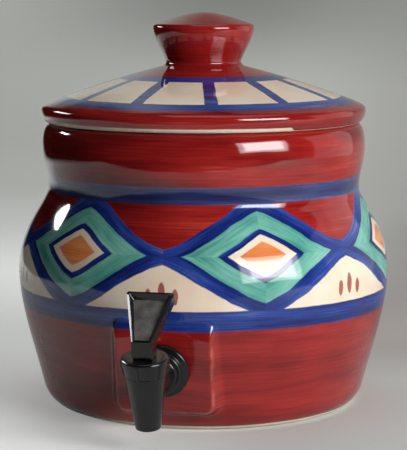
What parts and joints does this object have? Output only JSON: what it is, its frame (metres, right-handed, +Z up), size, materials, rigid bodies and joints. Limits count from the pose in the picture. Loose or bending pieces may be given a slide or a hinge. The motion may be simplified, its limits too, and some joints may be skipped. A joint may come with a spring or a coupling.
{
  "type": "ceramic drink dispenser",
  "caption": "Round glazed ceramic drink crock with a lift-off knobbed lid and a black self-closing lever tap on a flat pad near its foot.",
  "frame": {"origin": "centre of the foot ring, on the crock's axis, in the plane that it stands on", "axes": "+Z up along the crock's axis; -Y out through the tap; +X to the right of someone facing the tap"},
  "size_m": [0.265, 0.3258, 0.2765],
  "materials": {
    "painted_glaze": "hand-brushed underglaze colours under a clear gloss glaze",
    "painted_glaze_lid": "hand-brushed underglaze colours under a clear gloss glaze",
    "black_plastic": "moulded black plastic, satin",
    "black_rubber": "matt moulded rubber",
    "white_plastic": "natural nylon",
    "silicone": "translucent silicone",
    "steel": "stainless steel"
  },
  "bodies": {
    "vessel": {"crock": "painted_glaze", "tap_body": "black_plastic", "flange_washer": "black_rubber", "inner_washer": "black_rubber", "plain_washer": "white_plastic", "shank_nut": "black_plastic", "bonnet": "black_plastic", "bonnet_gasket": "silicone", "stem_seal": "black_rubber", "seal_retainer": "steel", "valve_spring": "steel"},
    "lid": {"lid": "painted_glaze_lid"},
    "valve": {"valve_stem": "black_plastic", "seat_cup": "silicone"},
    "lever": {"lever": "black_plastic", "lever_pin": "steel"}
  },
  "joints": [
    {"name": "lid_lift", "type": "slide", "parent": "vessel", "child": "lid", "axis": [0, 0, 1], "range_m": [0, 0.12]},
    {"name": "valve_lift", "type": "slide", "parent": "vessel", "child": "valve", "axis": [0, -0.1736, 0.9848], "range_m": [0, 0.00315], "deforming": ["valve_spring"]},
    {"name": "lever_tilt", "type": "hinge", "parent": "valve", "child": "lever", "pos_m": [0, -0.17844, 0.06845], "axis": [1, 0, 0], "range_deg": [0, 40], "stiffness_Nm_per_rad": 0.03, "springref_deg": -68.75}
  ],
  "couplings": [
    {"joint": "valve_lift", "follows": "lever_tilt", "m_per_rad": 0.0045}
  ]
}
